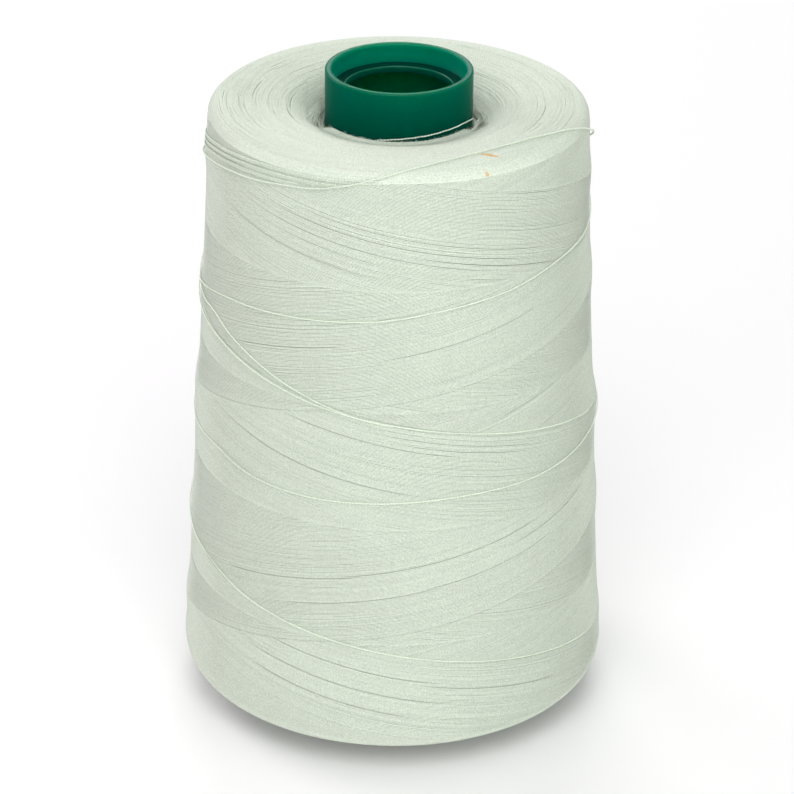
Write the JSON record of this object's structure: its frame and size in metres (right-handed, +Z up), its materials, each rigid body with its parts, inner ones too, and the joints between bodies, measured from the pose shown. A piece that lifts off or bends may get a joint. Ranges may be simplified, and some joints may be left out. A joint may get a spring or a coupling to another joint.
{
  "type": "cone of sewing thread",
  "caption": "Cross-wound cone of pale mint sewing thread on a tapered green plastic tube with a straight open nose; one slipped turn of thread lies loose over the top.",
  "frame": {"origin": "middle of the circle that the tube's foot stands on", "axes": "+Z up along the cone's own axis, from the wide foot to the open nose; -Y is the side on which the slipped turn crosses the top"},
  "size_m": [0.1086, 0.1086, 0.17],
  "materials": {
    "green_plastic": "moulded polypropylene, smooth, slightly see-through dark green",
    "mint_thread": "spun sewing thread, soft sheen, pale mint"
  },
  "bodies": {
    "root": {"tube": "green_plastic", "winding": "mint_thread", "loose_turn": "mint_thread"}
  },
  "joints": []
}
